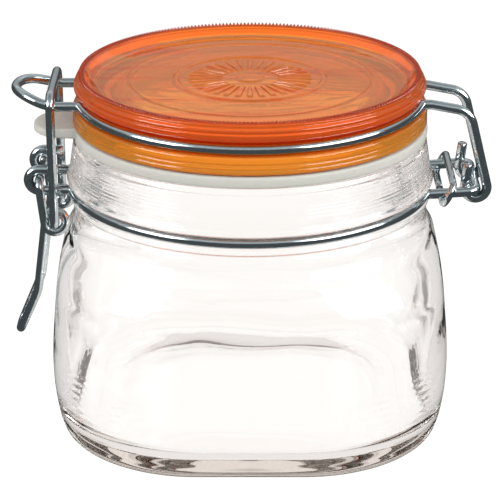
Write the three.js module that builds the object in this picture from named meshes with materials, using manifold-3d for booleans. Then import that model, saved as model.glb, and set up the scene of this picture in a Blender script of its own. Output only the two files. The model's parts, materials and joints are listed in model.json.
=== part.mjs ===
// Wire bail clamp jar: a square-shouldered glass jar with a round glass lid, a rubber gasket and the
// five bent wires of its clamp. Millimetres, +Z up, origin at the centre of the base on the jar's axis.
// +X is the hinge side and -X the latch side.
import * as THREE from "three";
import { mergeVertices } from "three/addons/utils/BufferGeometryUtils.js";
import Module from "manifold-3d";

// ---- driving dimensions ----
const gap = 0.3; // clearance between touching pieces
const aroundGlass = 48; // facets around the jar and lid
const aroundWire = 8; // facets around a wire

const mouthRadius = 43;
const lipTop = 84;
const waistRadius = 49.3;
const neckGrooveRadius = 47.9;
const squareness = 0.295; // share of the body's half-width that is straight, from its middle
const squareEnds = 44; // height where the square body starts to turn round
const roundFrom = 64; // height where the body is round

const lidTop = 102;
const rimThickness = 3; // height of the lid's rim above its panel
const plugRadius = 41.8;
const plugBottom = 82.5;
const flangeRadius = 49;
const flangeTop = 92.7;
const lidGrooveRadius = 45.6;

const gasketThickness = 3.1;
const gasketRadius = 49.2;
const tabReach = 60;
const tabHalfWidth = 8.8;

const lidWire = 2.7; // wire diameters
const neckWire = 2.75;
const latchWire = 2.5;
const keeperWire = 2;

const lidRingRadius = 47.4;
const lidRingHeight = 94.4;
const thumbHalfWidth = 11;
const thumbReach = 64.5;
const thumbRound = 10; // length of the thumb loop's rounded end
const thumbLift = 2.6; // height of the thumb loop's end above its arms
const thumbLiftFrom = 52.5; // distance from the axis where the thumb loop starts to rise

const neckRingRadius = 49.6;
const neckRingHeight = 69.4;
const hinge = { x: 62.4, z: 70.4 }; // the crossbar that the lid turns on
const hingeArm = 12.1; // half the distance between the neck wire's hinge arms
const lidHook = 9.05; // half the distance between the lid wire's hooks
const lidHookRadius = 3.1;

const hookRadius = 3; // the neck wire's open hooks that hold the lever
const hookHalfWidth = 8.6;
const pivot = { x: -58.2, z: neckRingHeight + hookRadius }; // the lever turns here
const eye = { x: -54, z: 60.8 }; // the lever's eyes, where the link turns
const eyeRadius = 2.85;
const leverHalfWidth = 11.6;
const leverInnerHalfWidth = 8.9;
const linkHalfWidth = 14.4;
const latchClearance = 0.75; // open play between the link's crossbar and the thumb loop

// ---- bent wire ----
// A path through a list of points. Straight stretches have no points between their ends.
class WirePath extends THREE.Curve {
  constructor(points) {
    super();
    this.points = points;
  }

  getPoint(t, target = new THREE.Vector3()) {
    const place = t * (this.points.length - 1);
    const before = Math.min(Math.floor(place), this.points.length - 2);
    return target.lerpVectors(this.points[before], this.points[before + 1], place - before);
  }

  getUtoTmapping(u) {
    return u;
  }
}

const at = (x, y, z, bend = 0) => ({ point: new THREE.Vector3(x, y, z), bend });

// Rounds each corner that has a bend radius, with one short chord for every 18 degrees or so.
function roundCorners(corners) {
  const points = [];
  corners.forEach(({ point, bend }, i) => {
    if (!bend || i === 0 || i === corners.length - 1) {
      points.push(point);
      return;
    }
    const before = corners[i - 1].point;
    const after = corners[i + 1].point;
    const towardBefore = before.clone().sub(point);
    const towardAfter = after.clone().sub(point);
    const turn = Math.PI - towardBefore.angleTo(towardAfter);
    const longest = 0.49 * Math.min(towardBefore.length(), towardAfter.length());
    const setback = Math.min(bend * Math.tan(turn / 2), longest);
    const start = point.clone().addScaledVector(towardBefore.normalize(), setback);
    const end = point.clone().addScaledVector(towardAfter.normalize(), setback);
    const chords = Math.max(2, Math.round(THREE.MathUtils.radToDeg(turn) / 18));
    points.push(...new THREE.QuadraticBezierCurve3(start, point, end).getPoints(chords));
  });
  return points;
}

// Corners on an arc. The first axis is X, and the second is Y or Z. Angles are in degrees.
function arc(centre, radius, from, to, chords, second, sideways = () => 0) {
  const corners = [];
  for (let i = 0; i <= chords; i++) {
    const share = i / chords;
    const angle = THREE.MathUtils.degToRad(THREE.MathUtils.lerp(from, to, share));
    const x = centre.x + radius * Math.cos(angle);
    const across = radius * Math.sin(angle);
    corners.push(second === "y" ? at(x, across, centre.z) : at(x, sideways(share), centre.z + across));
  }
  return corners;
}

// The other half of a wire that is the same on both sides of the XZ plane, from the middle outward.
const mirrored = (corners) => {
  return corners.map(({ point, bend }) => at(point.x, -point.y, point.z, bend)).reverse();
};

function wire(name, corners, diameter, material) {
  const points = roundCorners(corners);
  const section = new THREE.Shape();
  for (let i = 0; i < aroundWire; i++) {
    const angle = (2 * Math.PI * i) / aroundWire;
    const x = (diameter / 2) * Math.cos(angle);
    const y = (diameter / 2) * Math.sin(angle);
    if (i === 0) section.moveTo(x, y);
    else section.lineTo(x, y);
  }
  const options = { steps: points.length - 1, bevelEnabled: false, extrudePath: new WirePath(points) };
  return piece(name, new THREE.ExtrudeGeometry(section, options), material);
}

// ---- turned glass and rubber ----
function turned(outline) {
  const points = outline.map(([radius, height]) => new THREE.Vector2(radius, height));
  return new THREE.LatheGeometry(points, aroundGlass).rotateX(Math.PI / 2);
}

function piece(name, geometry, material) {
  const mesh = new THREE.Mesh(geometry, material);
  mesh.name = name;
  return mesh;
}

const wasm = await Module();
wasm.setup();

function toSolid(geometry) {
  const bare = geometry.clone();
  bare.deleteAttribute("normal");
  bare.deleteAttribute("uv");
  const merged = mergeVertices(bare, 1e-4);
  const vertProperties = new Float32Array(merged.attributes.position.array);
  const triVerts = new Uint32Array(merged.index.array);
  return new wasm.Manifold(new wasm.Mesh({ numProp: 3, vertProperties, triVerts }));
}

function toGeometry(solid) {
  const mesh = solid.getMesh();
  const geometry = new THREE.BufferGeometry();
  geometry.setAttribute("position", new THREE.BufferAttribute(mesh.vertProperties, 3));
  geometry.setIndex(new THREE.BufferAttribute(mesh.triVerts, 1));
  return geometry;
}

// ---- materials ----
const clearGlass = new THREE.MeshStandardMaterial({
  color: 0xf1f3ee, roughness: 0.05, metalness: 0, transparent: true, opacity: 0.35,
});
const orangeGlass = new THREE.MeshStandardMaterial({
  color: 0xd9601c, roughness: 0.08, metalness: 0, transparent: true, opacity: 0.85,
});
const rubber = new THREE.MeshStandardMaterial({ color: 0xdcd8cc, roughness: 0.55, metalness: 0 });
const steel = new THREE.MeshStandardMaterial({ color: 0xb4babd, roughness: 0.2, metalness: 1 });

// ---- jar body ----
// How far a surface point stands out from the round shape of the same half-width, at an angle around
// the axis: flat sides whose straight share is q, joined by round corners.
function squareFactor(angle, q) {
  const quarter = Math.PI / 2;
  const folded = Math.abs(angle - quarter * Math.round(angle / quarter));
  if (Math.tan(folded) <= q) return 1 / Math.cos(folded);
  const sum = Math.cos(folded) + Math.sin(folded);
  return q * sum + Math.sqrt((1 - q) ** 2 - 2 * q ** 2 + (q * sum) ** 2);
}

function jarBody() {
  const geometry = turned([
    [0, 1.9], [33, 1.4], [36.5, 0], [45.4, 0],
    [48.7, 1.1], [51.9, 3.2], [53.3, 6.4], [54.4, 12], [55, 17.5], [55.2, 25], [54.8, 32],
    [54.2, 39], [53.6, 45.5], [52.9, 51], [52.1, 54.6], [50.6, 57.6], [49.8, 60.4],
    [waistRadius, 63.2], [waistRadius, 65.6],
    [50.2, 66.3], [50.2, 67.2], [neckGrooveRadius, 67.6], [neckGrooveRadius, 71.1],
    [50.9, 71.4], [51.2, 72.1], [50.9, 72.9], [50.2, 75], [49.2, 81],
    [49, 82.8], [48.2, 83.7], [47, lipTop],
    [44.4, lipTop], [43.4, 83.5], [mouthRadius, 82.4], [mouthRadius, 69], [44, 64.5],
    [46.2, 60], [48.3, 55.5], [49.8, 50], [50.9, 42], [51.6, 27], [51.2, 14.5],
    [49.6, 9.4], [45.5, 6.8], [36, 6], [0, 6.2],
  ]);
  const place = geometry.attributes.position;
  for (let i = 0; i < place.count; i++) {
    const x = place.getX(i);
    const y = place.getY(i);
    const straight = squareness * (1 - THREE.MathUtils.smoothstep(place.getZ(i), squareEnds, roundFrom));
    const factor = squareFactor(Math.atan2(y, x), straight);
    place.setXY(i, x * factor, y * factor);
  }
  return piece("jar_body", geometry, clearGlass);
}

// ---- lid ----
function lid() {
  const panel = lidTop - rimThickness;
  const flangeBottom = lipTop + gap + gasketThickness + gap;
  const geometry = turned([
    [0, 94.2], [35, 94.2], [37, 92.6], [37.6, 83], [38.2, plugBottom],
    [41.2, plugBottom], [plugRadius, 83.1], [plugRadius, flangeBottom],
    [48.6, flangeBottom], [flangeRadius, flangeBottom + 0.4], [flangeRadius, 92.3], [48.6, flangeTop],
    [46, flangeTop], [lidGrooveRadius, 93.1], [lidGrooveRadius, 95.8], [47.2, 96.2],
    [48.3, 97.2], [48.6, 98.4], [48, 98.8], [47.8, 100.1], [47.2, 100.4],
    [46.7, 101.5], [46.2, lidTop], [45.3, lidTop], [44.7, 101.6], [42.6, panel + 0.2], [41.8, panel],
    [34, panel], [33.5, panel + 0.35], [33, panel], [0, panel],
  ]);
  return piece("lid", geometry, orangeGlass);
}

// ---- gasket, a flat ring with a pull tab on the latch side ----
function gasket() {
  const bottom = lipTop + gap;
  const top = bottom + gasketThickness;
  const inner = plugRadius + gap;
  const ring = turned([
    [inner, bottom], [gasketRadius - 0.5, bottom], [gasketRadius, bottom + 0.5],
    [gasketRadius, top - 0.5], [gasketRadius - 0.5, top], [inner, top], [inner, bottom],
  ]);
  const outline = new THREE.Shape();
  outline.moveTo(-(inner + 4), -tabHalfWidth);
  outline.lineTo(-(inner + 4), tabHalfWidth);
  outline.lineTo(-(tabReach - 6), tabHalfWidth - 1);
  outline.quadraticCurveTo(-tabReach, tabHalfWidth - 2, -tabReach, 0);
  outline.quadraticCurveTo(-tabReach, 2 - tabHalfWidth, -(tabReach - 6), 1 - tabHalfWidth);
  const tab = new THREE.ExtrudeGeometry(outline, {
    depth: gasketThickness - 0.4, bevelEnabled: false, curveSegments: 6,
  }).translate(0, 0, bottom + 0.2);
  return piece("gasket", toGeometry(toSolid(ring).add(toSolid(tab))), rubber);
}

// ---- lid wire: hooks on the hinge, a ring round the lid, and the thumb loop ----
function lidWireBail() {
  const start = THREE.MathUtils.radToDeg(Math.asin(thumbHalfWidth / lidRingRadius));
  const end = THREE.MathUtils.radToDeg(Math.asin(lidHook / lidRingRadius));
  const ring = arc({ x: 0, z: lidRingHeight }, lidRingRadius, 180 - start, end, 26, "y");
  ring[0].bend = 3;
  ring[ring.length - 1].bend = 3;
  const loop = [];
  for (let i = 0; i <= 6; i++) {
    const angle = (Math.PI / 2) * (i / 6);
    const x = thumbRound - thumbReach - thumbRound * Math.cos(angle);
    const rise = thumbLift * THREE.MathUtils.smoothstep(-x, thumbLiftFrom, thumbReach);
    loop.push(at(x, thumbHalfWidth * Math.sin(angle), lidRingHeight + rise));
  }
  const half = [
    ...loop,
    at(-thumbLiftFrom, thumbHalfWidth, lidRingHeight),
    ...ring,
    at(49.4, lidHook, lidRingHeight, 5),
    at(60.1, lidHook, 92.4, 5.5),
    ...arc(hinge, lidHookRadius, 14, -180, 11, "z", () => lidHook),
    at(60.2, lidHook, 77.4),
  ];
  return wire("lid_wire", [...mirrored(half).slice(0, -1), ...half], lidWire, steel);
}

// ---- neck wire: open hooks for the lever, a ring round the neck, and the hinge crossbar ----
function neckWireFrame() {
  const start = THREE.MathUtils.radToDeg(Math.asin(hookHalfWidth / neckRingRadius));
  const end = THREE.MathUtils.radToDeg(Math.asin(hingeArm / neckRingRadius));
  const ring = arc({ x: 0, z: neckRingHeight }, neckRingRadius, end, 180 - start, 26, "y");
  ring[0].bend = 3;
  ring[ring.length - 1].bend = 3;
  const half = [
    at(hinge.x, 0, hinge.z),
    at(hinge.x, hingeArm, hinge.z, 2.4),
    ...ring,
    ...arc(pivot, hookRadius, 270, 90, 9, "z", () => hookHalfWidth),
    at(-53, hookHalfWidth, pivot.z + hookRadius),
  ];
  return wire("neck_wire", [...mirrored(half).slice(0, -1), ...half], neckWire, steel);
}

// ---- lever: pivot ends, a coiled eye on each side, and one long handle loop ----
function lever() {
  const inward = (share) => THREE.MathUtils.lerp(leverHalfWidth, leverInnerHalfWidth, share);
  const half = [
    at(-65.7, 0, 25.2),
    at(-65.7, 3.4, 25.2, 2.6),
    at(-59.9, 6.2, 38.5, 12),
    ...arc(eye, eyeRadius, 532, 188, 17, "z", (share) => inward(1 - share)),
    at(pivot.x, leverHalfWidth, pivot.z, 2),
    at(pivot.x, 6.6, pivot.z),
  ];
  return wire("lever", [...mirrored(half).slice(0, -1), ...half], latchWire, steel);
}

// ---- link: a crossbar over the thumb loop and an arm on each side down to the lever's eyes ----
function bailLink() {
  const crossbar = { x: eye.x - 0.2, z: lidRingHeight + (lidWire + latchWire) / 2 + latchClearance };
  const half = [
    at(crossbar.x, 0, crossbar.z),
    at(crossbar.x, linkHalfWidth, crossbar.z, 3.4),
    at(eye.x, linkHalfWidth, eye.z, 2),
    at(eye.x, 6.8, eye.z),
  ];
  return wire("bail_link", [...mirrored(half).slice(0, -1), ...half], latchWire, steel);
}

// ---- keeper: an oval tie round both hinge arms, its ends butted underneath ----
function neckWireKeeper() {
  const middle = { y: hingeArm, z: 69.8 };
  const radius = 2.8;
  const slant = 0.48; // the top strand stands further out than the bottom one
  const lean = (z) => 54.55 + slant * (z - middle.z);
  const half = [];
  for (let i = 0; i <= 8; i++) {
    const angle = THREE.MathUtils.degToRad(90 - (180 * i) / 8);
    const z = middle.z + radius * Math.sin(angle);
    half.push(at(lean(z), middle.y + radius * Math.cos(angle), z));
  }
  half.push(at(lean(middle.z - radius), 0.25, middle.z - radius));
  return wire("neck_wire_keeper", [...mirrored(half), ...half], keeperWire, steel);
}

const group = new THREE.Group();
group.add(jarBody(), lid(), gasket(), lidWireBail(), neckWireFrame(), lever(), bailLink(), neckWireKeeper());

export default group;
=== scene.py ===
# The finished look of a wire bail clamp jar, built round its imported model. Lengths are in millimetres until
# a mesh is made, and +Z is up, +X the hinge side, -X the latch side and -Y the front, as in the model.
import json
import math

import bpy
import numpy as np
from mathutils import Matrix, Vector


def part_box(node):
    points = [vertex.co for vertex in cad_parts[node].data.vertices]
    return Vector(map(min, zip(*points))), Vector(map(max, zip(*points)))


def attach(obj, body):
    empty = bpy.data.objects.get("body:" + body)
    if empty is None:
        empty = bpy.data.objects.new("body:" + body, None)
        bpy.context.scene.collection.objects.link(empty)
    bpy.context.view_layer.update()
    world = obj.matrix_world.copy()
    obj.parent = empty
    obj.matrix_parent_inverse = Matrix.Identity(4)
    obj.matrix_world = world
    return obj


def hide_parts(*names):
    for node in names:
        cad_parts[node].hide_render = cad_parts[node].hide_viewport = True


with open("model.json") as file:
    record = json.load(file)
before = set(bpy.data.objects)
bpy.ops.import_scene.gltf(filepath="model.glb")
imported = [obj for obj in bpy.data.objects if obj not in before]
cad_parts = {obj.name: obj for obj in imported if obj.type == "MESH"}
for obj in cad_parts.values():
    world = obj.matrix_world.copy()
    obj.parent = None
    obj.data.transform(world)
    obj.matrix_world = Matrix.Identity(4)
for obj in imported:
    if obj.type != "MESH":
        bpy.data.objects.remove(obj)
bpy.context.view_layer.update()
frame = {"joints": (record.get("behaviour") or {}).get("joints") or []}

MM = 0.001
JOINT_AT = {j["name"]: Vector(j["pos_m"]) / MM for j in frame["joints"]}
HINGE = JOINT_AT["lid_hinge"]
PIVOT = JOINT_AT["lever_pivot"]
EYE = JOINT_AT["link_pivot"]
JAR_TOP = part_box("jar_body")[1].z / MM
LID_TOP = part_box("lid")[1].z / MM
FLANGE_BOTTOM = JAR_TOP + 3.7
PANEL_RADIUS = 43.3  # the lid's panel inside this, and its rim and flange outside


# ---- camera: above the jar's front, looking down on it, in metres ----
LENS = 162
SENSOR = 36
CAMERA_AT = (0, -0.5945, 0.2824)
CAMERA_AIM = (0, 0, 0.0482)


def make_camera():
    data = bpy.data.cameras.new("camera")
    data.sensor_width = SENSOR
    data.lens = LENS
    data.clip_start = 0.01
    data.clip_end = 20
    camera = bpy.data.objects.new("camera", data)
    bpy.context.scene.collection.objects.link(camera)
    camera.location = CAMERA_AT
    aim = Vector(CAMERA_AIM) - camera.location
    camera.rotation_euler = aim.to_track_quat("-Z", "Y").to_euler()
    bpy.context.scene.camera = camera


make_camera()


# ---- node helpers ----
MIX_FACTOR, MIX_FIRST, MIX_SECOND, MIX_RESULT = 0, 6, 7, 2  # the colour sockets of a Mix node, by index


def new_material(name):
    material = bpy.data.materials.new(name)
    material.use_nodes = True
    tree = material.node_tree
    return material, tree, tree.nodes["Principled BSDF"]


def add_node(tree, kind, **sockets):
    node = tree.nodes.new(kind)
    for key, value in sockets.items():
        node.inputs[key.replace("_", " ")].default_value = value
    return node


def link(tree, source, output, target, entry):
    tree.links.new(source.outputs[output], target.inputs[entry])


def coordinates(tree, kind, scale):
    """Texture coordinates of the kind, stretched by the scale on each axis."""
    place = add_node(tree, "ShaderNodeTexCoord")
    mapping = add_node(tree, "ShaderNodeMapping", Scale=scale)
    link(tree, place, kind, mapping, "Vector")
    return mapping


def ramp(tree, source, output, stops):
    """A colour ramp on a node's output, from its (place, colour) stops in order."""
    node = tree.nodes.new("ShaderNodeValToRGB")
    elements = node.color_ramp.elements
    while len(elements) < len(stops):
        elements.new(0.5)
    for element, (place, colour) in zip(elements, stops):
        element.position = place
        element.color = colour
    link(tree, source, output, node, "Fac")
    return node


def grey(value):
    return (value, value, value, 1)


def add_bump(tree, shader, source, output, strength, depth):
    bump = add_node(tree, "ShaderNodeBump", Strength=strength, Distance=depth)
    link(tree, source, output, bump, "Height")
    link(tree, bump, "Normal", shader, "Normal")


def more_than(tree, node, output, limit):
    """A socket that is 1 where the node's output is above the limit, and 0 elsewhere."""
    test = tree.nodes.new("ShaderNodeMath")
    test.operation = "GREATER_THAN"
    test.inputs[1].default_value = limit
    tree.links.new(node.outputs[output], test.inputs[0])
    return test.outputs[0]


def blended(tree, factor, first, second):
    """A mix of two colours, each a value or another node's socket."""
    mix = tree.nodes.new("ShaderNodeMix")
    mix.data_type = "RGBA"
    tree.links.new(factor, mix.inputs[MIX_FACTOR])
    for place, colour in ((MIX_FIRST, first), (MIX_SECOND, second)):
        if isinstance(colour, tuple):
            mix.inputs[place].default_value = colour
        else:
            tree.links.new(colour, mix.inputs[place])
    return mix.outputs[MIX_RESULT]


# ---- materials ----
GLASS_IOR = 1.5
RIPPLE_DEPTH = 0.0006  # metres


def clear_glass():
    """Pressed soda-lime glass: a faint warm grey body colour and slow ripples in the surface."""
    material, tree, shader = new_material("clear_glass")
    shader.inputs["Base Color"].default_value = (1, 1, 1, 1)
    shader.inputs["Transmission Weight"].default_value = 1
    shader.inputs["IOR"].default_value = GLASS_IOR
    mapping = coordinates(tree, "Object", (38, 38, 90))
    ripples = add_node(tree, "ShaderNodeTexNoise", Scale=1, Detail=1.5, Roughness=0.4)
    link(tree, mapping, "Vector", ripples, "Vector")
    add_bump(tree, shader, ripples, "Fac", 0.25, RIPPLE_DEPTH)
    smears = add_node(tree, "ShaderNodeTexNoise", Scale=60, Detail=3)
    haze = ramp(tree, smears, "Fac", [(0.45, grey(0.0)), (0.8, grey(0.05))])
    link(tree, haze, "Color", shader, "Roughness")
    body = add_node(tree, "ShaderNodeVolumeAbsorption", Color=(0.62, 0.56, 0.5, 1), Density=9)
    link(tree, body, "Volume", tree.nodes["Material Output"], "Volume")
    return material


def panel_colour(tree):
    """Streaks of paler and redder orange, as the glass flowed in the mould."""
    flow = add_node(tree, "ShaderNodeTexNoise", Scale=1, Detail=3, Distortion=2)
    link(tree, coordinates(tree, "Object", (9, 75, 20)), "Vector", flow, "Vector")
    streaks = ramp(tree, flow, "Fac", [
        (0.36, (0.84, 0.24, 0.035, 1)), (0.46, (0.86, 0.38, 0.055, 1)), (0.7, (0.86, 0.42, 0.07, 1)),
    ])
    return streaks.outputs["Color"]


def edge_colour(tree, place):
    """Amber in the flange, red-orange up the rim and dark along its crest."""
    parts = tree.nodes.new("ShaderNodeSeparateXYZ")
    link(tree, place, "Object", parts, "Vector")
    height = tree.nodes.new("ShaderNodeMapRange")
    height.inputs["From Min"].default_value = FLANGE_BOTTOM * MM
    height.inputs["From Max"].default_value = LID_TOP * MM
    link(tree, parts, "Z", height, "Value")
    bands = ramp(tree, height, "Result", [
        (0, (0.85, 0.56, 0.07, 1)), (0.34, (0.9, 0.46, 0.05, 1)), (0.5, (0.95, 0.2, 0.03, 1)),
        (0.93, (0.9, 0.24, 0.03, 1)), (0.965, (0.5, 0.08, 0.012, 1)),
    ])
    return bands.outputs["Color"]


def outside_panel(tree, place):
    """A socket that is 1 further than the panel's radius from the axis, and 0 nearer."""
    flat = tree.nodes.new("ShaderNodeVectorMath")
    flat.operation = "MULTIPLY"
    flat.inputs[1].default_value = (1, 1, 0)
    tree.links.new(place.outputs["Object"], flat.inputs[0])
    radius = tree.nodes.new("ShaderNodeVectorMath")
    radius.operation = "LENGTH"
    tree.links.new(flat.outputs["Vector"], radius.inputs[0])
    return more_than(tree, radius, "Value", PANEL_RADIUS * MM)


def orange_glass():
    """Glass coloured all through, with one pattern in the panel and another in the rim and flange."""
    material, tree, shader = new_material("orange_glass")
    place = add_node(tree, "ShaderNodeTexCoord")
    colour = blended(tree, outside_panel(tree, place), panel_colour(tree), edge_colour(tree, place))
    tree.links.new(colour, shader.inputs["Base Color"])
    shader.inputs["Transmission Weight"].default_value = 0.78
    shader.inputs["IOR"].default_value = GLASS_IOR
    mapping = coordinates(tree, "Object", (22, 70, 60))
    ripples = add_node(tree, "ShaderNodeTexNoise", Scale=1, Detail=2, Distortion=1.5)
    link(tree, mapping, "Vector", ripples, "Vector")
    add_bump(tree, shader, ripples, "Fac", 0.3, RIPPLE_DEPTH)
    smears = add_node(tree, "ShaderNodeTexNoise", Scale=90, Detail=3)
    haze = ramp(tree, smears, "Fac", [(0.4, grey(0.02)), (0.8, grey(0.1))])
    link(tree, haze, "Color", shader, "Roughness")
    body = add_node(tree, "ShaderNodeVolumeAbsorption", Color=(0.975, 0.67, 0.12, 1), Density=250)
    link(tree, body, "Volume", tree.nodes["Material Output"], "Volume")
    return material


def rubber():
    """Milky sealing rubber with a dull moulded skin."""
    material, tree, shader = new_material("rubber")
    shader.inputs["Subsurface Weight"].default_value = 0.35
    shader.inputs["Subsurface Radius"].default_value = (1, 0.85, 0.65)
    shader.inputs["Subsurface Scale"].default_value = 0.002
    clouds = add_node(tree, "ShaderNodeTexNoise", Scale=70, Detail=5)
    tint = ramp(tree, clouds, "Fac", [(0.3, (0.36, 0.36, 0.335, 1)), (0.7, (0.46, 0.46, 0.425, 1))])
    link(tree, tint, "Color", shader, "Base Color")
    gloss = ramp(tree, clouds, "Fac", [(0.3, grey(0.38)), (0.7, grey(0.52))])
    link(tree, gloss, "Color", shader, "Roughness")
    skin = add_node(tree, "ShaderNodeTexNoise", Scale=1800, Detail=3)
    add_bump(tree, shader, skin, "Fac", 0.25, 0.0002)
    return material


def steel():
    """Bright drawn wire: fine lines along its length, with small dull patches."""
    material, tree, shader = new_material("steel_wire")
    shader.inputs["Metallic"].default_value = 1
    along = coordinates(tree, "UV", (26, 60, 1))
    lines = add_node(tree, "ShaderNodeTexNoise", Scale=1, Detail=4, Roughness=0.65)
    link(tree, along, "Vector", lines, "Vector")
    patches = add_node(tree, "ShaderNodeTexNoise", Scale=220, Detail=4)
    tint = ramp(tree, patches, "Fac", [(0.3, (0.46, 0.53, 0.55, 1)), (0.65, (0.66, 0.72, 0.74, 1))])
    link(tree, tint, "Color", shader, "Base Color")
    gloss = ramp(tree, lines, "Fac", [(0.35, grey(0.08)), (0.75, grey(0.24))])
    link(tree, gloss, "Color", shader, "Roughness")
    add_bump(tree, shader, lines, "Fac", 0.12, 0.0001)
    return material


CLEAR_GLASS = clear_glass()
ORANGE_GLASS = orange_glass()
RUBBER = rubber()
STEEL = steel()


# ---- making a piece ----
def make_piece(name, points, faces, material, body, node, uvs=None):
    """A smooth mesh from points in millimetres, riding on its body in place of its CAD node."""
    mesh = bpy.data.meshes.new(name)
    mesh.from_pydata((np.asarray(points) * MM).tolist(), [], faces)
    mesh.validate()
    if uvs is not None:
        layer = mesh.uv_layers.new(name="UVMap")
        corner = np.empty(len(mesh.loops), int)
        mesh.loops.foreach_get("vertex_index", corner)
        layer.data.foreach_set("uv", np.asarray(uvs, float)[corner].ravel())
    mesh.materials.append(material)
    mesh.shade_smooth()
    piece = bpy.data.objects.new(name, mesh)
    bpy.context.scene.collection.objects.link(piece)
    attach(piece, body)
    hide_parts(node)


# ---- outlines ----
def flowing(points, chord):
    """A centripetal Catmull-Rom curve through the points, cut into chords of about that length."""
    given = np.asarray(points, float)
    padded = np.vstack([2 * given[0] - given[1], given, 2 * given[-1] - given[-2]])
    out = [given[0]]
    for a, b, c, d in zip(padded, padded[1:], padded[2:], padded[3:]):
        t0 = 0.0
        t1 = t0 + math.sqrt(max(np.linalg.norm(b - a), 1e-6))
        t2 = t1 + math.sqrt(max(np.linalg.norm(c - b), 1e-6))
        t3 = t2 + math.sqrt(max(np.linalg.norm(d - c), 1e-6))
        steps = max(2, round(np.linalg.norm(c - b) / chord))
        for t in np.linspace(t1, t2, steps + 1)[1:]:
            ab = a + (b - a) * (t - t0) / (t1 - t0)
            bc = b + (c - b) * (t - t1) / (t2 - t1)
            cd = c + (d - c) * (t - t2) / (t3 - t2)
            abc = ab + (bc - ab) * (t - t0) / (t2 - t0)
            bcd = bc + (cd - bc) * (t - t1) / (t3 - t1)
            out.append(abc + (bcd - abc) * (t - t1) / (t2 - t1))
    return np.array(out)


def turned(outline, segments, closed=False):
    """Points and faces of an outline of (radius, height) turned about Z.

    An open outline starts and ends on the axis.
    """
    radii, heights = outline[:, 0], outline[:, 1]
    angles = np.linspace(0, 2 * np.pi, segments, endpoint=False)
    rows = range(len(outline)) if closed else range(1, len(outline) - 1)
    rings = [
        np.column_stack([radii[i] * np.cos(angles), radii[i] * np.sin(angles), np.full(segments, heights[i])])
        for i in rows
    ]
    points = np.vstack(rings)
    count = len(rings)
    pairs = [(i, (i + 1) % count) for i in range(count if closed else count - 1)]
    following = (np.arange(segments) + 1) % segments
    faces = []
    for low, high in pairs:
        for k in range(segments):
            n = following[k]
            faces.append((low * segments + k, low * segments + n, high * segments + n, high * segments + k))
    if not closed:
        bottom, top = len(points), len(points) + 1
        points = np.vstack([points, [0, 0, heights[0]], [0, 0, heights[-1]]])
        last = (count - 1) * segments
        faces += [(bottom, int(following[k]), k) for k in range(segments)]
        faces += [(top, last + k, last + int(following[k])) for k in range(segments)]
    return points, [tuple(int(i) for i in face) for face in faces]


def ease(value, low, high):
    """0 up to low, 1 from high on, and a smooth rise between them."""
    share = np.clip((value - low) / (high - low), 0, 1)
    return share * share * (3 - 2 * share)


# ---- jar body ----
SQUARENESS = 0.295  # share of the body's half-width that is straight, from its middle
SQUARE_ENDS = 44  # heights between which the square body becomes the round neck
ROUND_FROM = 64
JAR_SEGMENTS = 288
NECK_FOOT, NECK_HEAD = (50.35, 73.6), (49.25, 81.4)  # ends of the neck's side, as (radius, height)
NECK_LINES = 8
NECK_LINE_DEPTH = 0.055
STEP_PITCH = 2.1  # faint steps one above another, low on each corner
STEP_DEPTH = 0.09


def square_factor(angles, straight):
    """How far flat sides joined by round corners stand out from a circle of the same half-width."""
    quarter = np.pi / 2
    folded = np.abs(angles - quarter * np.round(angles / quarter))
    total = np.cos(folded) + np.sin(folded)
    corner = straight * total + np.sqrt((1 - straight) ** 2 - 2 * straight**2 + (straight * total) ** 2)
    return np.where(np.tan(folded) <= straight, 1 / np.cos(folded), corner)


def neck_lines(start, end):
    """The neck's side with the fine lines that the moulding tool left round it."""
    share = np.linspace(0, 1, 46)[1:-1]
    radii = start[0] + (end[0] - start[0]) * share
    fade = np.sin(np.pi * share) ** 0.5
    radii = radii + NECK_LINE_DEPTH * fade * np.sin(2 * np.pi * share * NECK_LINES)
    return np.column_stack([radii, start[1] + (end[1] - start[1]) * share])


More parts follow.
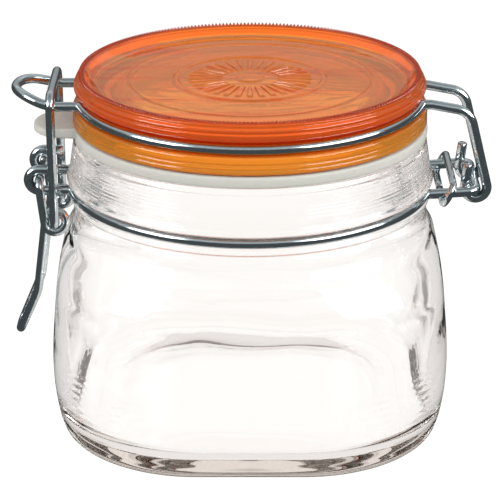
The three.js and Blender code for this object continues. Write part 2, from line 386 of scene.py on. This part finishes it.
def jar_body():
    outside = flowing([
        (0, 1.9), (16, 1.75), (26, 1.35), (34, 0.65), (39, 0.1), (41, 0), (44, 0), (45.4, 0.1),
        (48.7, 1.1), (51.9, 3.2), (53.3, 6.4), (54.4, 12), (55, 17.5), (55.15, 25), (54.8, 32),
        (54.2, 39), (53.6, 45.5), (52.9, 51), (52.1, 54.6), (50.6, 57.6), (49.8, 60.4),
        (49.4, 63.2), (49.3, 65.0), (49.4, 65.7),
        (49.9, 66.0), (50.2, 66.4), (50.2, 67.1), (49.9, 67.5), (48.4, 67.7), (47.9, 68.2),
        (47.9, 70.6), (48.4, 71.1), (50.6, 71.3), (51.1, 71.7), (51.15, 72.3), (50.8, 72.9),
        NECK_FOOT,
    ], 0.6)
    lip = flowing([
        NECK_HEAD, (49.2, 82), (48.95, 82.3), (48.5, 82.45), (48.4, 82.8), (48.3, 83.4), (47.9, 83.8),
        (47, JAR_TOP),
    ], 0.3)
    outside = np.vstack([outside, neck_lines(NECK_FOOT, NECK_HEAD), lip])
    inside = flowing([
        (47, JAR_TOP), (44.6, JAR_TOP), (43.6, 83.6), (43.1, 82.6), (43, 81), (43, 76), (43, 69),
        (43.9, 64.5), (46, 60), (48.2, 55.5), (49.8, 50), (50.9, 42), (51.5, 33), (51.6, 24),
        (51.2, 14.5), (50.3, 10.8), (48.6, 8.2), (45.2, 6.8), (40, 6.1), (30, 5.9), (15, 6.1), (0, 6.2),
    ], 0.8)
    outline = np.vstack([outside, inside[1:]])
    outer_count = len(outside) - 1
    points, faces = turned(outline, JAR_SEGMENTS)
    x, y, z = points.T
    angles = np.arctan2(y, x)
    factor = square_factor(angles, SQUARENESS * (1 - ease(z, SQUARE_ENDS, ROUND_FROM)))
    radii = np.hypot(x, y) * factor
    # Rings come first, from the outside's foot round to the inside's middle, and then the two on the axis.
    row = np.repeat(np.arange(len(outline) - 2), JAR_SEGMENTS)
    row = np.append(row, [0, len(outline) - 3])
    inner = row >= outer_count
    # The plunger leaves slow waves on the inside of a pressed jar.
    waves = 0.16 * np.sin(3 * angles + z / 9) + 0.1 * np.sin(7 * angles - z / 5) + 0.12 * np.sin(z / 6.5)
    radii += np.where(inner, waves * ease(z, 8, 20) * (1 - ease(z, 56, 68)), 0)
    corner = ease(np.abs(np.sin(2 * angles)), 0.82, 0.97) * ease(z, 10, 13) * (1 - ease(z, 25, 30))
    radii -= np.where(inner, 0, STEP_DEPTH * corner * (0.5 + 0.5 * np.sin(2 * np.pi * z / STEP_PITCH)))
    points = np.column_stack([radii * np.cos(angles), radii * np.sin(angles), z])
    make_piece("glass_jar", points, faces, CLEAR_GLASS, "jar", "jar_body")


# ---- lid ----
RIM_TEETH = 276
TOOTH_DEPTH = 0.7
PANEL = LID_TOP - 3
RAYS = 32  # ribs of the plain sunburst pressed into the panel
RELIEF_RADIUS = 21.6  # the sunburst and its ring lie inside this


def sunburst(radii, angles):
    """Height of the relief: a middle button, wedge-shaped rays, and a ring round them."""
    button = 1 - ease(radii, 3.4, 4.2)
    ray = ease(np.cos(RAYS * angles), -0.1, 0.5)
    rays = ray * ease(radii, 7.6, 8.4) * (1 - ease(radii, 16.6, 17.4))
    ring = ease(radii, 19.4, 20.0) * (1 - ease(radii, 20.8, 21.4))
    return 0.45 * button + 0.4 * rays + 0.45 * ring


def lid():
    plug = [
        (0, 94.2), (20, 94.2), (33, 94.15), (35.6, 93.8), (36.9, 92.6), (37.2, 90), (37.5, 84), (37.8, 82.9),
        (38.6, 82.5), (41, 82.5), (41.7, 83), (41.8, 84), (41.8, 86.6), (42.1, FLANGE_BOTTOM),
    ]
    flange = [
        (47.6, FLANGE_BOTTOM), (48.7, FLANGE_BOTTOM + 0.2), (49, FLANGE_BOTTOM + 0.7), (48.98, 88.9),
        (48.84, 89.1), (48.84, 89.4), (48.98, 89.6), (48.98, 90.1), (48.86, 90.3), (48.86, 90.7),
        (49, 90.9), (49, 91.6), (48.8, 92.4), (48.1, 92.7),
    ]
    groove = [(46.6, 92.75), (45.9, 93), (45.6, 93.6), (45.6, 95), (45.9, 95.7), (46.8, 96.1)]
    rim = [
        (47.8, 96.6), (48.4, 97.4), (48.6, 98.2), (48.5, 98.6), (48.1, 98.75), (48.1, 99.0), (48.2, 99.3),
        (48.0, 99.8), (47.6, 100.1), (47.4, 100.4), (47.45, 100.75), (47.3, 101.1), (47.15, 101.5),
        (46.95, 101.85), (46.6, LID_TOP), (46.2, 101.85), (45.9, 101.5), (45.4, 101.1),
    ]
    panel = [
        rim[-1], (44.6, 100.4), (43.3, 99.6), (42.4, 99.15), (41, PANEL), (38, PANEL), (34.2, PANEL),
        (33.9, PANEL + 0.12), (33.6, PANEL + 0.22), (33.3, PANEL + 0.12), (33, PANEL), (27, PANEL),
        (22, PANEL),
    ]
    relief = [(radius, PANEL) for radius in np.linspace(RELIEF_RADIUS, 0, 60)]
    outline = np.vstack([flowing(plug + flange + groove + rim, 0.4), flowing(panel, 0.6)[1:], relief])
    points, faces = turned(outline, RIM_TEETH * 4)
    x, y, z = points.T
    angles, radii = np.arctan2(y, x), np.hypot(x, y)
    crest = ease(z, 100.9, 101.5) * ease(radii, 45.7, 46.1)
    notch = crest * (0.5 + 0.5 * np.cos(RIM_TEETH * angles))
    radii = radii - TOOTH_DEPTH * notch
    z = z - TOOTH_DEPTH * notch
    top = z > PANEL - 0.5
    z = z + np.where(top & (radii < RELIEF_RADIUS + 0.2), sunburst(radii, angles), 0)
    points = np.column_stack([radii * np.cos(angles), radii * np.sin(angles), z])
    make_piece("glass_lid", points, faces, ORANGE_GLASS, "lid", "lid")


# ---- gasket ----
GASKET_SEGMENTS = 360
TAB_HALF = 8.6  # half of the pull tab's width
TAB_CORNER, TAB_END = 55, 59.9  # how far from the axis the tab's sides and its round end reach
TAB_ANGLE = 0.3  # radians to each side of the latch side that the tab may take up
TAB_THINNING = 0.2


def gasket():
    """A ring with rounded edges whose outside is drawn out on the latch side into the pull tab."""
    low, high = [corner.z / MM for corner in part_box("gasket")]
    inner, middle, outer = 42.1, 46, 49.15
    edge = 0.7
    outline = flowing([
        (inner, low + edge), (inner + 0.2, low + 0.2), (inner + edge, low), (45.5, low), (outer - edge, low),
        (outer - 0.2, low + 0.2), (outer, low + edge), (outer, high - edge), (outer - 0.2, high - 0.2),
        (outer - edge, high), (45.5, high), (inner + edge, high), (inner + 0.2, high - 0.2),
        (inner, high - edge), (inner, low + edge),
    ], 0.3)[:-1]
    points, faces = turned(outline, GASKET_SEGMENTS, closed=True)
    x, y, z = points.T
    angles, radii = np.arctan2(y, x), np.hypot(x, y)
    # Outside the ring's middle, points near the latch side are drawn out to the tab's round tongue.
    from_tab = np.pi - np.abs(angles)
    across = np.clip(outer * np.sin(np.clip(from_tab, 0, np.pi / 2)) / TAB_HALF, 0, 1)
    tongue = TAB_END - (TAB_END - TAB_CORNER) * across**2.6
    width = 1 - ease(across, 0.86, 1.0)
    reach = np.where(from_tab < TAB_ANGLE, outer + (tongue - outer) * width, outer)
    share = np.clip((radii - middle) / (outer - middle), 0, 1)
    radii = radii + share * (reach - outer)
    thin = TAB_THINNING * share * width * (from_tab < TAB_ANGLE)
    mid_height = (low + high) / 2
    z = mid_height + (z - mid_height) * (1 - thin)
    points = np.column_stack([radii * np.cos(angles), radii * np.sin(angles), z])
    make_piece("rubber_gasket", points, faces, RUBBER, "lid", "gasket")


# ---- bent wire ----
WIRE_SIDES = 20
LONGEST_STRETCH = 3.0
CHAMFER_SHARE = 0.12  # of the wire's diameter
UV_PER_LENGTH = 0.01


def at(x, y, z, bend=0.0):
    """A corner of a wire's path and the radius that the wire is bent to there."""
    return np.array([x, y, z], float), bend


def round_corners(corners):
    """Replaces each corner that has a bend radius by an arc of that radius."""
    points = []
    for i, (point, bend) in enumerate(corners):
        if not bend or i in (0, len(corners) - 1):
            points.append(point)
            continue
        to_before = corners[i - 1][0] - point
        to_after = corners[i + 1][0] - point
        before, after = np.linalg.norm(to_before), np.linalg.norm(to_after)
        to_before, to_after = to_before / before, to_after / after
        turn = math.pi - math.acos(np.clip(to_before @ to_after, -1, 1))
        setback = min(bend * math.tan(turn / 2), 0.49 * min(before, after))
        radius = setback / math.tan(turn / 2)
        inward = (to_before + to_after) / np.linalg.norm(to_before + to_after)
        centre = point + inward * math.hypot(radius, setback)
        start = point + to_before * setback - centre
        end = point + to_after * setback - centre
        chords = max(3, round(math.degrees(turn) / 7))
        for k in range(chords + 1):
            share = k / chords
            a = math.sin((1 - share) * turn) / math.sin(turn)
            b = math.sin(share * turn) / math.sin(turn)
            points.append(centre + a * start + b * end)
    return points


def arc(centre_x, centre_z, radius, start, end, chords, second, sideways=lambda share: 0.0):
    """Corners on an arc whose first axis is X and whose second is Y or Z. Angles are in degrees."""
    corners = []
    for i in range(chords + 1):
        share = i / chords
        angle = math.radians(start + (end - start) * share)
        x = centre_x + radius * math.cos(angle)
        across = radius * math.sin(angle)
        if second == "y":
            corners.append(at(x, across, centre_z))
        else:
            corners.append(at(x, sideways(share), centre_z + across))
    return corners


def both_sides(half):
    """The whole of a wire that is the same on both sides of the XZ plane, from its half."""
    other = [at(p[0], -p[1], p[2], bend) for p, bend in reversed(half)]
    return other[:-1] + half if abs(half[0][0][1]) < 1e-9 else other + half


def finely(points, longest):
    """The same path with long straight stretches cut up."""
    out = [points[0]]
    for a, b in zip(points, points[1:]):
        pieces = max(1, math.ceil(np.linalg.norm(b - a) / longest))
        out += [a + (b - a) * (k / pieces) for k in range(1, pieces + 1)]
    return np.array(out)


def wire(name, corners, diameter, body, node):
    """A round wire along its corners, with a small chamfer at each cut end."""
    sides = WIRE_SIDES
    path = finely(round_corners(corners), LONGEST_STRETCH)
    steps = np.diff(path, axis=0)
    lengths = np.linalg.norm(steps, axis=1)
    directions = steps / lengths[:, None]
    tangents = np.vstack([directions[:1], directions[:-1] + directions[1:], directions[-1:]])
    tangents /= np.linalg.norm(tangents, axis=1)[:, None]
    side = np.cross(tangents[0], [0.3, 0.2, 0.9])
    side /= np.linalg.norm(side)
    along = np.concatenate([[0], np.cumsum(lengths)])
    angles = np.linspace(0, 2 * np.pi, sides, endpoint=False)
    chamfer = CHAMFER_SHARE * diameter
    rings, uvs = [], []

    def add_ring(centre, tangent, radius, length):
        up = np.cross(tangent, side)
        rings.append(centre + radius * (np.outer(np.cos(angles), side) + np.outer(np.sin(angles), up)))
        uvs.extend((k / sides, length * UV_PER_LENGTH) for k in range(sides))

    for i, (centre, tangent) in enumerate(zip(path, tangents)):
        side = side - tangent * (side @ tangent)
        side /= np.linalg.norm(side)
        if i == 0:
            add_ring(centre, tangent, diameter / 2 - chamfer, 0)
            centre = centre + tangent * chamfer
        if i == len(path) - 1:
            add_ring(centre - tangent * chamfer, tangent, diameter / 2, along[i])
            add_ring(centre, tangent, diameter / 2 - chamfer, along[i])
        else:
            add_ring(centre, tangent, diameter / 2, along[i])
    count = len(rings)
    faces = []
    for r in range(count - 1):
        for k in range(sides):
            n = (k + 1) % sides
            faces.append((r * sides + k, r * sides + n, (r + 1) * sides + n, (r + 1) * sides + k))
    faces.append(tuple(range(sides - 1, -1, -1)))
    faces.append(tuple((count - 1) * sides + k for k in range(sides)))
    make_piece(name, np.vstack(rings), faces, STEEL, body, node, uvs)


LID_WIRE, NECK_WIRE, LATCH_WIRE, KEEPER_WIRE = 2.7, 2.75, 2.5, 2.0
LID_RING_HEIGHT = 94.4


def lid_wire():
    """Thumb loop, ring in the lid's groove, two arms and the hooks round the hinge."""
    reach, half_width, round_end, lift = 64.5, 11, 10, 2.6
    ring_radius, hook_width, hook_radius = 47.4, 9.05, 3.1
    loop_chords, loop_foot = 15, 52.5
    loop = []
    for i in range(loop_chords + 1):
        angle = math.pi / 2 * i / loop_chords
        x = round_end - reach - round_end * math.cos(angle)
        rise = lift * float(ease(np.array(-x), loop_foot, reach))
        loop.append(at(x, half_width * math.sin(angle), LID_RING_HEIGHT + rise))
    start = 180 - math.degrees(math.asin(half_width / ring_radius))
    end = math.degrees(math.asin(hook_width / ring_radius))
    ring = arc(0, LID_RING_HEIGHT, ring_radius, start, end, 52, "y")
    ring[0] = (ring[0][0], 3)
    ring[-1] = (ring[-1][0], 3)
    half = [
        *loop,
        at(-loop_foot, half_width, LID_RING_HEIGHT),
        *ring,
        at(49.4, hook_width, LID_RING_HEIGHT, 5),
        at(60.1, hook_width, 92.4, 5.5),
        *arc(HINGE.x, HINGE.z, hook_radius, 14, -180, 28, "z", lambda share: hook_width),
        at(60.2, hook_width, 77.4),
    ]
    wire("lid_clamp_wire", both_sides(half), LID_WIRE, "lid", "lid_wire")


def neck_wire():
    """Crossbar that is the hinge's pin, two arms, ring in the neck's groove and the lever's open hooks."""
    ring_radius, ring_height = 49.6, 69.4
    arm, hook_width, hook_radius = 12.1, 8.6, 3
    start = math.degrees(math.asin(arm / ring_radius))
    end = 180 - math.degrees(math.asin(hook_width / ring_radius))
    ring = arc(0, ring_height, ring_radius, start, end, 52, "y")
    ring[0] = (ring[0][0], 3)
    ring[-1] = (ring[-1][0], 3)
    half = [
        at(HINGE.x, 0, HINGE.z),
        at(HINGE.x, arm, HINGE.z, 2.4),
        *ring,
        *arc(PIVOT.x, PIVOT.z, hook_radius, 270, 90, 26, "z", lambda share: hook_width),
        at(-53, hook_width, PIVOT.z + hook_radius),
    ]
    wire("neck_clamp_wire", both_sides(half), NECK_WIRE, "jar", "neck_wire")


def lever():
    """Narrow handle loop, an eye coiled sideways on each arm, and the ends that turn in the hooks."""
    outer, inner, eye_radius = 11.6, 8.9, 2.85
    half = [
        at(-65.7, 0, 25.2),
        at(-65.7, 3.4, 25.2, 2.6),
        at(-59.9, 6.2, 38.5, 12),
        *arc(EYE.x, EYE.z, eye_radius, 532, 188, 48, "z", lambda share: inner + (outer - inner) * share),
        at(PIVOT.x, outer, PIVOT.z, 2),
        at(PIVOT.x, 6.6, PIVOT.z),
    ]
    wire("latch_lever", both_sides(half), LATCH_WIRE, "lever", "lever")


def bail_link():
    """Crossbar over the thumb loop and two arms down to the lever's eyes."""
    half_width = 14.4
    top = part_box("bail_link")[1].z / MM - LATCH_WIRE / 2
    half = [
        at(EYE.x - 0.2, 0, top),
        at(EYE.x - 0.2, half_width, top, 3.4),
        at(EYE.x, half_width, EYE.z, 2),
        at(EYE.x, 6.8, EYE.z),
    ]
    wire("latch_link", both_sides(half), LATCH_WIRE, "link", "bail_link")


def keeper():
    """An oval tie round both hinge arms, leaning outward, whose ends meet below."""
    middle_x, middle_y, middle_z, radius, slant = 54.55, 12.1, 69.8, 2.8, 0.48
    chords, half_gap = 18, 0.25
    half = []
    for i in range(chords + 1):
        angle = math.radians(90 - 180 * i / chords)
        z = middle_z + radius * math.sin(angle)
        half.append(at(middle_x + slant * (z - middle_z), middle_y + radius * math.cos(angle), z))
    half.append(at(middle_x - slant * radius, half_gap, middle_z - radius))
    wire("hinge_keeper", both_sides(half), KEEPER_WIRE, "jar", "neck_wire_keeper")


jar_body()
lid()
gasket()
lid_wire()
neck_wire()
lever()
bail_link()
keeper()


# ---- studio, in metres ----
SEEN_WHITE = (1.08, 1.06, 1.03, 1)
INSIDE_GLASS = (0.92, 0.88, 0.86, 1)
FLOOR_IN_METAL = (0.07, 0.08, 0.085, 1)
FLOOR_HALF = 4
LIGHTS_AIM = Vector((0, 0, 0.06))


def area_light(name, centre, size, power):
    data = bpy.data.lights.new(name, "AREA")
    data.shape = "RECTANGLE"
    data.size, data.size_y = size
    data.energy = power
    lamp = bpy.data.objects.new(name, data)
    bpy.context.scene.collection.objects.link(lamp)
    lamp.location = centre
    aim = LIGHTS_AIM - Vector(centre)
    lamp.rotation_euler = aim.to_track_quat("-Z", "Y").to_euler()


def studio_colour(tree, in_metal):
    """White where it is seen directly or through glass, pale in reflections inside the glass, and the
    given colour in other reflections, as round an object on a lit table in a dim room."""
    rays = tree.nodes.new("ShaderNodeLightPath")
    inside_glass = more_than(tree, rays, "Transmission Depth", 0.5)
    in_reflections = blended(tree, inside_glass, in_metal, INSIDE_GLASS)
    reflected = more_than(tree, rays, "Glossy Depth", 0.5)
    return blended(tree, reflected, SEEN_WHITE, in_reflections)


def floor():
    material = bpy.data.materials.new("floor")
    material.use_nodes = True
    tree = material.node_tree
    tree.nodes.clear()
    glow = tree.nodes.new("ShaderNodeEmission")
    tree.links.new(studio_colour(tree, FLOOR_IN_METAL), glow.inputs["Color"])
    surface = tree.nodes.new("ShaderNodeOutputMaterial")
    link(tree, glow, "Emission", surface, "Surface")
    mesh = bpy.data.meshes.new("floor")
    half = FLOOR_HALF
    corners = [(half, half, 0), (-half, half, 0), (-half, -half, 0), (half, -half, 0)]
    mesh.from_pydata(corners, [], [(0, 1, 2, 3)])
    mesh.materials.append(material)
    sheet = bpy.data.objects.new("floor", mesh)
    bpy.context.scene.collection.objects.link(sheet)


def sky():
    """Reflections of the room: dark below, pale grey-blue from the table's edge up."""
    world = bpy.data.worlds.new("studio")
    bpy.context.scene.world = world
    world.use_nodes = True
    tree = world.node_tree
    place = tree.nodes.new("ShaderNodeTexCoord")
    height = tree.nodes.new("ShaderNodeSeparateXYZ")
    link(tree, place, "Generated", height, "Vector")
    room = ramp(tree, height, "Z", [
        (0.0, grey(0.06)), (0.3, grey(0.1)), (0.5, (0.45, 0.49, 0.51, 1)), (0.75, (0.6, 0.65, 0.67, 1)),
        (1.0, grey(0.25)),
    ])
    tree.links.new(studio_colour(tree, room.outputs["Color"]), tree.nodes["Background"].inputs["Color"])


def studio():
    floor()
    sky()
    area_light("key_left", (-0.85, -0.45, 0.55), (0.6, 0.45), 7)
    area_light("key_right", (0.85, -0.45, 0.55), (1.0, 0.45), 10)
    area_light("back", (0, 1.1, 0.55), (1.6, 0.6), 0.9)
    bpy.context.scene.view_settings.view_transform = "Standard"
    # Light turns many times inside the thick base and the rim before it comes out.
    paths = bpy.context.scene.cycles
    paths.max_bounces = 24
    paths.glossy_bounces = 16
    paths.transmission_bounces = 24


studio()
